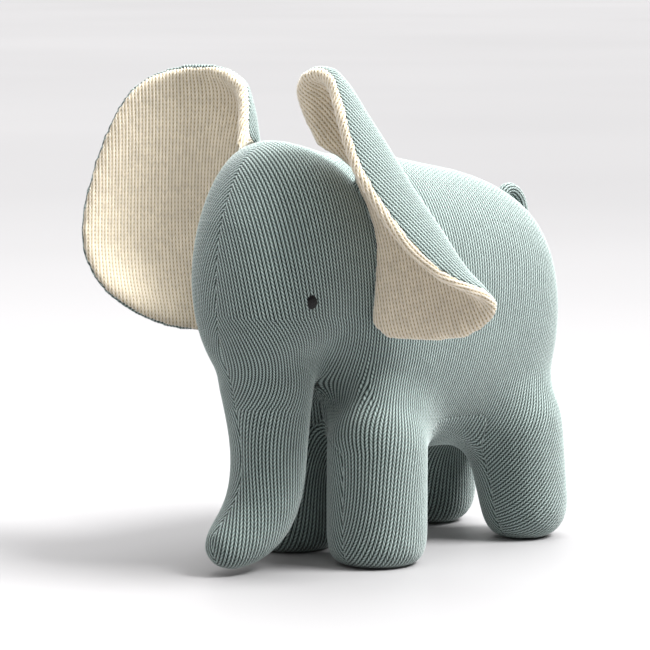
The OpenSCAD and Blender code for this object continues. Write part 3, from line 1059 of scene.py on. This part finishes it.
def make_eye(eye):
    """An oval of satin stitch: strands side by side, each a little slanted."""
    low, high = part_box(eye)
    middle = (low + high) / 2
    at, out = on_head(middle)
    up = Vector((0, 0, 1))
    up = (up - out * up.dot(out)).normalized()
    over = out.cross(up)
    half_h = (high.z - low.z) / 2
    bm = bmesh.new()
    for k in range(EYE_STRANDS):
        s = (k + 0.5) / EYE_STRANDS * 2 - 1
        tall = half_h * math.sqrt(1 - s * s) + 0.5 * MM
        slant = 0.5 * MM * (1 if k % 2 else 0.6)
        path = []
        for t in np.linspace(-1, 1, 13):
            crown = 1.1 * MM * (1 - s * s * 0.6) * (1 - t * t) - 0.5 * MM * t ** 4
            sideways = over * (s * EYE_HALF + slant * t)
            path.append(at + sideways + up * (tall * t) + out * (crown + 0.3 * MM))
        yarn(bm, path, 0.48 * MM, lay=4 * MM)
    piece = thread_piece(eye + "_satin_stitch", bm, EYE_THREAD)
    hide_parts(eye)
    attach(piece, "root")


make_eye("left_eye")
make_eye("right_eye")

# ---- Tail ---------------------------------------------------------------------------------

# The cord's centreline, as in part.scad
TAIL_ROUTE = [(0, 111, 208), (0, 116, 213), (0, 123, 212.5), (0, 129.5, 206), (0, 132.5, 195),
              (0, 132.5, 181), (0, 132, 166), (0, 131.5, 151)]
TAIL_R = 3.6 * MM
TAIL_WALES = 6


def knitted_tube(path, radius, wales, seed):
    """A knitted cord along a path."""
    sides = 24
    u, v = frames_along(path)
    far = np.r_[0, np.cumsum(np.linalg.norm(np.diff(path, axis=0), axis=1))]
    angles = np.linspace(0, 2 * math.pi, sides + 1)
    out = u[:, None] * np.cos(angles)[None, :, None] + v[:, None] * np.sin(angles)[None, :, None]
    co = path[:, None] + out * radius
    wale = 2 * math.pi * radius / wales
    flat = np.stack(np.broadcast_arrays(angles[None, :] * radius, far[:, None]), 2)

    def triangles(grid):
        a, b, c, d = grid[:-1, :-1], grid[:-1, 1:], grid[1:, 1:], grid[1:, :-1]
        halves = [np.stack(t, 2).reshape(-1, 3, grid.shape[2]) for t in ((a, b, c), (a, c, d))]
        return np.concatenate(halves)

    corners = triangles(co)
    part = np.zeros(len(corners), int)
    return knitted(corners, triangles(out), triangles(flat), part, wale=wale, seed=seed)


route = rounded(np.array(TAIL_ROUTE) * MM, 60)
tail = mesh_of("tail_cord_knit", knitted_tube(route, TAIL_R, TAIL_WALES, 5), SAGE)
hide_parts("tail_cord")
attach(tail, "tail")

# The knot is a trefoil of thinner cord
KNOT_R, KNOT_CORD_R, KNOT_WALES = 3.4 * MM, 1.9 * MM, 4
knot_low, knot_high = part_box("tail_knot")
turn = np.linspace(0, 2 * math.pi, 90)
coil = np.stack([np.sin(turn) + 2 * np.sin(2 * turn), -np.sin(3 * turn),
                 np.cos(turn) - 2 * np.cos(2 * turn)], 1)
coil = coil / 3 * KNOT_R + np.array((knot_low + knot_high) / 2)
knot = mesh_of("tail_knot_knit", knitted_tube(coil, KNOT_CORD_R, KNOT_WALES, 6), SAGE)
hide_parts("tail_knot")
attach(knot, "tail")

# ---- Camera, floor and light --------------------------------------------------------------

AIM = Vector((0, -45 * MM, 141 * MM))


def from_side(azimuth, elevation):
    """The direction from the toy to a point at an azimuth and elevation in degrees."""
    a, e = math.radians(azimuth), math.radians(elevation)
    return Vector((math.sin(a) * math.cos(e), -math.cos(a) * math.cos(e), math.sin(e)))


def aimed(name, data, azimuth, elevation, distance):
    obj = link(bpy.data.objects.new(name, data))
    back = from_side(azimuth, elevation)
    obj.location = AIM + back * distance
    obj.rotation_euler = back.to_track_quat("Z", "Y").to_euler()
    return obj


camera = bpy.data.cameras.new("camera")
camera.sensor_width = 36
camera.lens = 184.6
bpy.context.scene.camera = aimed("camera", camera, 45, 7, 2.0)


def softbox(name, azimuth, elevation, distance, size, watts):
    light = bpy.data.lights.new(name, "AREA")
    light.size = size
    light.energy = watts
    return aimed(name, light, azimuth, elevation, distance)


def lamp(name, azimuth, elevation, strength, angle):
    light = bpy.data.lights.new(name, "SUN")
    light.energy = strength
    light.angle = math.radians(angle)
    return aimed(name, light, azimuth, elevation, 3.0)


lamp("window_light", 122, 52, 6.3, 24)
softbox("face_light", 30, 66, 0.55, 0.5, 1.5)
softbox("ceiling_light", 200, 72, 1.5, 1.2, 26)

# A white room, bright on the window's side behind the toy and dimmer on the side towards us
world = bpy.data.worlds.new("white_room")
world.use_nodes = True
tree = world.node_tree
facing = added(tree, "TexCoord")
toward = tree.nodes.new("ShaderNodeVectorMath")
toward.operation = "DOT_PRODUCT"
toward.inputs[1].default_value = from_side(225, 12)
tree.links.new(facing.outputs["Generated"], toward.inputs[0])
spread_of = added(tree, "MapRange", From_Min=-0.7, From_Max=0.75, To_Min=0.11, To_Max=1.0)
spread_of.interpolation_type = "SMOOTHSTEP"
tree.links.new(toward.outputs["Value"], spread_of.inputs["Value"])
tree.links.new(spread_of.outputs["Result"], tree.nodes["Background"].inputs["Strength"])
tree.nodes["Background"].inputs["Color"].default_value = colour("f8f7f7")
bpy.context.scene.world = world
bpy.context.scene.view_settings.view_transform = "Standard"

bm = bmesh.new()
bmesh.ops.create_circle(bm, cap_ends=True, segments=96, radius=40)
floor = new_object("floor", bm)
floor_mat, floor_tree, floor_shader = material("pale_floor", 0.5, 0)
floor_tone = tones(floor_tree, noise(floor_tree, 1.5), (0.3, "a09fa0"), (0.7, "a6a5a6"))
shaded(floor_tree, floor_shader, floor_tone, between(floor_tree, noise(floor_tree, 0.2), 0.99, 1.0))
floor.data.materials.append(floor_mat)
